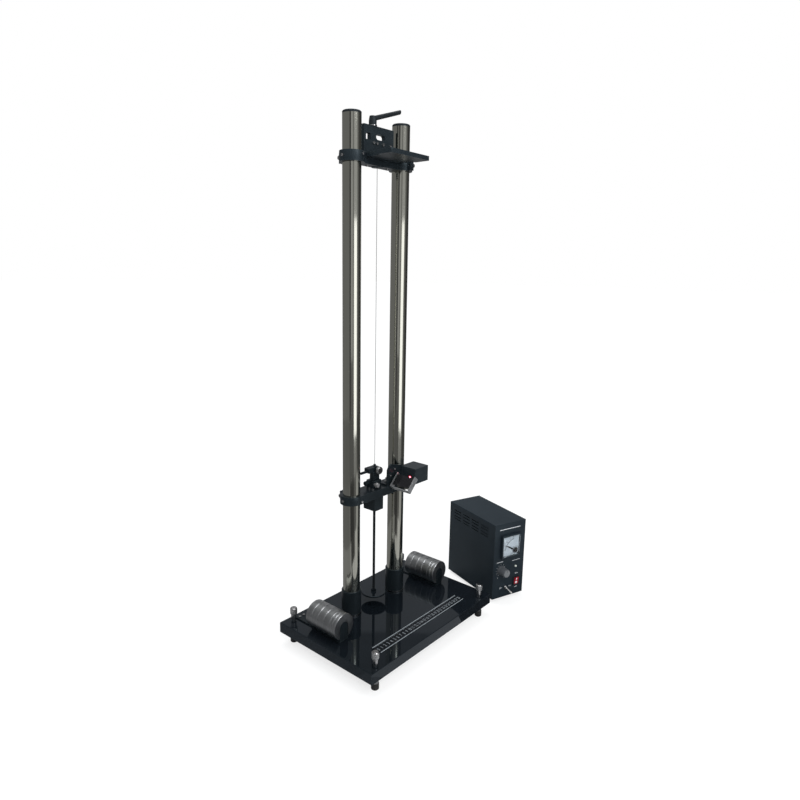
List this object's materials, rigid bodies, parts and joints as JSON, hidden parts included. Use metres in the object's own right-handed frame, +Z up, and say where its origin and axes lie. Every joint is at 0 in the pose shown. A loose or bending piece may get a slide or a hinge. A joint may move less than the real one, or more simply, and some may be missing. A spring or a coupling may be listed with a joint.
{
  "type": "young modulus apparatus",
  "caption": "Twin-column wire-stretching stand on a levelled base plate, with a laser and tilting mirror on its lower beam, slotted weights and a separate supply box.",
  "frame": {"origin": "centre of the base plate's underside", "axes": "+X along the base, +Y towards the columns' side, +Z up"},
  "size_m": [0.6187, 0.2918, 1.1405],
  "materials": {
    "black_paint": "gloss",
    "black_anodised": "satin",
    "stainless": "polished",
    "bright_steel": "polished",
    "satin_steel": "satin",
    "black_plastic": "matte",
    "gloss_black_plastic": "gloss",
    "rubber": "matte",
    "bronze": "satin",
    "printed_strip": "gloss",
    "mirror_glass": "polished",
    "clear_window": "polished",
    "powder_black": "matte",
    "red_plastic": "gloss",
    "core_steel": "matte"
  },
  "bodies": {
    "root": {"base_plate": "black_paint", "scale_strip": "printed_strip", "foot_collars": "satin_steel", "foot_pads": "rubber", "post_left": "stainless", "post_right": "stainless", "post_sockets": "black_anodised", "post_rings": "bright_steel", "post_caps": "gloss_black_plastic", "post_bolts": "bright_steel", "upper_beam": "black_anodised", "upper_shelf": "black_anodised", "upper_plate": "black_anodised", "beam_fasteners": "bright_steel", "upper_chuck": "black_anodised", "lower_beam": "black_anodised", "guide_box": "black_anodised", "guide_bush": "bronze", "guide_block": "black_anodised", "mirror_arm": "black_anodised", "stirrup": "satin_steel", "laser_case": "powder_black", "laser_nozzle": "black_anodised", "laser_bracket": "black_anodised", "small_screws": "bright_steel", "weight_rails": "black_anodised", "box_cover": "powder_black", "box_chassis": "powder_black", "front_panel": "powder_black", "box_feet": "rubber", "transformer": "core_steel", "mains_inlet": "black_plastic", "meter_case": "black_plastic", "meter_window": "clear_window", "indicator_lamp": "red_plastic", "rocker_bezel": "black_plastic", "toggle_bushing": "bright_steel"},
    "front_left_screw": {"levelling_screw_front_left": "bright_steel"},
    "front_right_screw": {"levelling_screw_front_right": "bright_steel"},
    "back_left_screw": {"levelling_screw_back_left": "bright_steel"},
    "back_right_screw": {"levelling_screw_back_right": "bright_steel"},
    "lever": {"clamp_lever": "black_plastic"},
    "load": {"wire_clamp": "black_anodised", "hanger_rod": "black_anodised", "hanger_pan": "black_paint", "wire": "satin_steel"},
    "thumbscrew": {"clamp_thumbscrew": "bright_steel"},
    "side_screw": {"clamp_side_screw": "black_plastic"},
    "lock": {"lock_knob": "black_plastic"},
    "fine": {"fine_knob": "bright_steel"},
    "mirror": {"mirror_block": "gloss_black_plastic", "mirror_glass": "mirror_glass"},
    "dial_knob": {"control_knob": "gloss_black_plastic"},
    "power_rocker": {"rocker": "red_plastic"},
    "toggle": {"toggle_lever": "bright_steel"},
    "needle": {"meter_needle": "black_paint"},
    "small_stack_left": {"small_weights_left": "satin_steel"},
    "large_stack_left": {"large_weights_left": "satin_steel"},
    "small_stack_right": {"small_weights_right": "satin_steel"},
    "large_stack_right": {"large_weights_right": "satin_steel"}
  },
  "joints": [
    {"name": "front_left_screw_turn", "type": "hinge", "parent": "root", "child": "front_left_screw", "pos_m": [-0.1825, -0.1225, 0.0235], "axis": [0, 0, 1], "continuous": true},
    {"name": "front_right_screw_turn", "type": "hinge", "parent": "root", "child": "front_right_screw", "pos_m": [0.1825, -0.1225, 0.0235], "axis": [0, 0, 1], "continuous": true},
    {"name": "back_left_screw_turn", "type": "hinge", "parent": "root", "child": "back_left_screw", "pos_m": [-0.1825, 0.1225, 0.0235], "axis": [0, 0, 1], "continuous": true},
    {"name": "back_right_screw_turn", "type": "hinge", "parent": "root", "child": "back_right_screw", "pos_m": [0.1825, 0.1225, 0.0235], "axis": [0, 0, 1], "continuous": true},
    {"name": "lever_turn", "type": "hinge", "parent": "root", "child": "lever", "pos_m": [-0.0144, 0.052, 1.067], "axis": [0, 0, 1], "range_deg": [-30, 180]},
    {"name": "load_travel", "type": "slide", "parent": "root", "child": "load", "axis": [0, 0, 1], "range_m": [-0.002, 0.002], "stiffness_N_per_m": 20000, "deforming": ["wire"]},
    {"name": "thumbscrew_turn", "type": "hinge", "parent": "load", "child": "thumbscrew", "pos_m": [0, 0.045, 0.3445], "axis": [0, 1, 0], "continuous": true},
    {"name": "side_screw_turn", "type": "hinge", "parent": "load", "child": "side_screw", "pos_m": [-0.026, 0.052, 0.3442], "axis": [1, 0, 0], "continuous": true},
    {"name": "lock_turn", "type": "hinge", "parent": "root", "child": "lock", "pos_m": [-0.016, 0.0535, 0.317], "axis": [1, 0, 0], "continuous": true},
    {"name": "fine_turn", "type": "hinge", "parent": "root", "child": "fine", "pos_m": [-0.012, 0.04, 0.314], "axis": [0, 1, 0], "continuous": true},
    {"name": "mirror_tilt", "type": "hinge", "parent": "root", "child": "mirror", "pos_m": [0.03708, -0.0045, 0.31793], "axis": [0, 1, 0], "range_deg": [-12, 12]},
    {"name": "dial_knob_turn", "type": "hinge", "parent": "root", "child": "dial_knob", "pos_m": [0.27766, -0.12379, 0.055], "axis": [0.3289, 0.9444, 0], "range_deg": [-150, 150]},
    {"name": "rocker_press", "type": "hinge", "parent": "root", "child": "power_rocker", "pos_m": [0.32503, -0.14134, 0.0155], "axis": [0.9444, -0.3289, 0], "range_deg": [0, 14]},
    {"name": "toggle_flip", "type": "hinge", "parent": "root", "child": "toggle", "pos_m": [0.29173, -0.13356, 0.005], "axis": [0.9444, -0.3289, 0], "range_deg": [-24, 0]},
    {"name": "needle_swing", "type": "hinge", "parent": "root", "child": "needle", "pos_m": [0.31367, -0.13898, 0.1027], "axis": [0.3289, 0.9444, 0], "range_deg": [-24, 56], "stiffness_Nm_per_rad": 0.0005},
    {"name": "small_stack_left_lift", "type": "slide", "parent": "root", "child": "small_stack_left", "axis": [0, 0, 1], "range_m": [0, 0.06]},
    {"name": "large_stack_left_lift", "type": "slide", "parent": "root", "child": "large_stack_left", "axis": [0, 0, 1], "range_m": [0, 0.06]},
    {"name": "small_stack_right_lift", "type": "slide", "parent": "root", "child": "small_stack_right", "axis": [0, 0, 1], "range_m": [0, 0.06]},
    {"name": "large_stack_right_lift", "type": "slide", "parent": "root", "child": "large_stack_right", "axis": [0, 0, 1], "range_m": [0, 0.06]}
  ]
}
